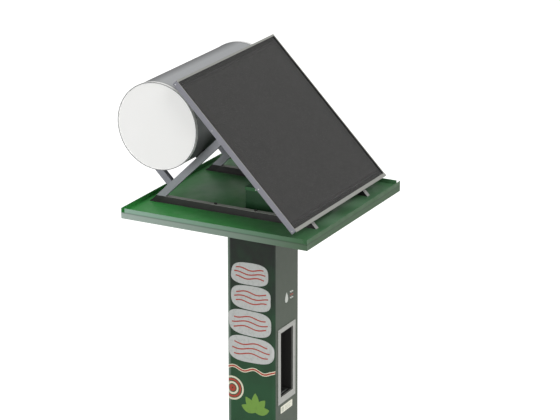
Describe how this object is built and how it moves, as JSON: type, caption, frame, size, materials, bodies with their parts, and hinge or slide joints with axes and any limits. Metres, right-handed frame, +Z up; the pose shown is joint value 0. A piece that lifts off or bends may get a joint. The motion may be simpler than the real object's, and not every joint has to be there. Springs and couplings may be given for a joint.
{
  "type": "solar hot water totem",
  "caption": "Slim street column with a bottle niche for hot water, carrying a square tray with a sloping solar collector and a round hot water tank.",
  "frame": {"origin": "centre of the base plate's underside, on the ground", "axes": "+Z up, -Y towards the niche and the low edge of the collector, +X to the right of someone facing the niche"},
  "size_m": [1.15, 1.2142, 2.8266],
  "materials": {
    "column_green": "satin",
    "print_green": "satin",
    "plate_grey": "satin",
    "tray_green": "gloss",
    "skirt_green": "satin",
    "housing_green": "satin",
    "zinc": "satin",
    "stainless": "satin",
    "bezel_steel": "satin",
    "niche_black": "matte",
    "frame_grey": "satin",
    "frame_alu": "satin",
    "back_alu": "satin",
    "brass": "satin",
    "copper": "satin",
    "black_metal": "matte",
    "glass": "polished",
    "black_rubber": "matte",
    "black_plastic": "matte",
    "drain_grey": "matte",
    "lever_red": "satin",
    "wool": "matte",
    "tank_shell": "satin",
    "tank_white": "satin",
    "vessel": "satin",
    "anode": "matte"
  },
  "bodies": {
    "totem": {"base_plate": "plate_grey", "corner_posts": "plate_grey", "top_plate": "plate_grey", "left_panel": "print_green", "right_panel": "column_green", "front_panel": "column_green", "rear_panels": "column_green", "hinge_frame_leaves": "zinc", "hinge_pins": "stainless", "niche_bezel": "bezel_steel", "niche_liner": "niche_black", "drip_bowl": "stainless", "spout": "stainless", "tap_block": "brass", "paddle_bracket": "zinc", "paddle_pin": "stainless", "mixing_valve": "brass", "mixed_pipe": "copper", "hot_pipe": "copper", "cold_pipe": "copper", "stop_valve": "brass", "drain_pipe": "drain_grey", "tray_pan": "tray_green", "tray_skirt": "skirt_green", "cross_beams": "plate_grey", "housing_box": "housing_green", "housing_lid": "housing_green", "pipe_grommets": "black_rubber", "base_rails": "frame_grey", "slope_rails": "frame_grey", "struts": "frame_grey", "stubs": "frame_grey", "cross_bars": "frame_grey", "saddles": "black_rubber", "frame_bolts": "zinc", "collector_frame": "frame_alu", "collector_back": "back_alu", "collector_wool": "wool", "absorber": "black_metal", "risers": "copper", "collector_glass": "glass", "glass_gasket": "black_rubber", "tank_shell": "tank_shell", "tank_cap_left": "tank_white", "tank_cap_right": "tank_white", "tank_lagging": "wool", "inner_vessel": "vessel", "anode": "anode", "flow_pipe": "black_metal", "return_pipe": "black_metal", "relief_valve": "brass"},
    "door": {"service_door": "column_green", "hinge_door_leaves": "zinc", "lock_housing": "zinc"},
    "lock": {"lock_cam": "zinc"},
    "paddle": {"paddle": "zinc"},
    "stem": {"valve_stem": "stainless"},
    "grille": {"drip_grille": "stainless"},
    "stop_lever": {"stop_lever": "lever_red"},
    "mixing_knob": {"mixing_knob": "black_plastic"}
  },
  "joints": [
    {"name": "door_swing", "type": "hinge", "parent": "totem", "child": "door", "pos_m": [0.105, 0.1555, 1.05], "axis": [0, 0, -1], "range_deg": [0, 110]},
    {"name": "lock_turn", "type": "hinge", "parent": "door", "child": "lock", "pos_m": [-0.0695, 0.15, 1.05], "axis": [0, -1, 0], "range_deg": [0, 90]},
    {"name": "paddle_swing", "type": "hinge", "parent": "totem", "child": "paddle", "pos_m": [0, 0.005, 1.206], "axis": [1, 0, 0], "range_deg": [0, 10], "stiffness_Nm_per_rad": 0.4},
    {"name": "stem_slide", "type": "slide", "parent": "totem", "child": "stem", "axis": [0, 1, 0], "range_m": [0, 0.009]},
    {"name": "grille_lift", "type": "slide", "parent": "totem", "child": "grille", "axis": [0, 0, 1], "range_m": [0, 0.05]},
    {"name": "stop_valve_turn", "type": "hinge", "parent": "totem", "child": "stop_lever", "pos_m": [0.06, 0.127, 0.51], "axis": [0, -1, 0], "range_deg": [0, 90]},
    {"name": "mix_knob_turn", "type": "hinge", "parent": "totem", "child": "mixing_knob", "pos_m": [-0.06, 0.133, 1.171], "axis": [0, 1, 0], "range_deg": [-120, 120]}
  ],
  "couplings": [
    {"joint": "stem_slide", "follows": "paddle_swing", "m_per_rad": 0.05}
  ]
}
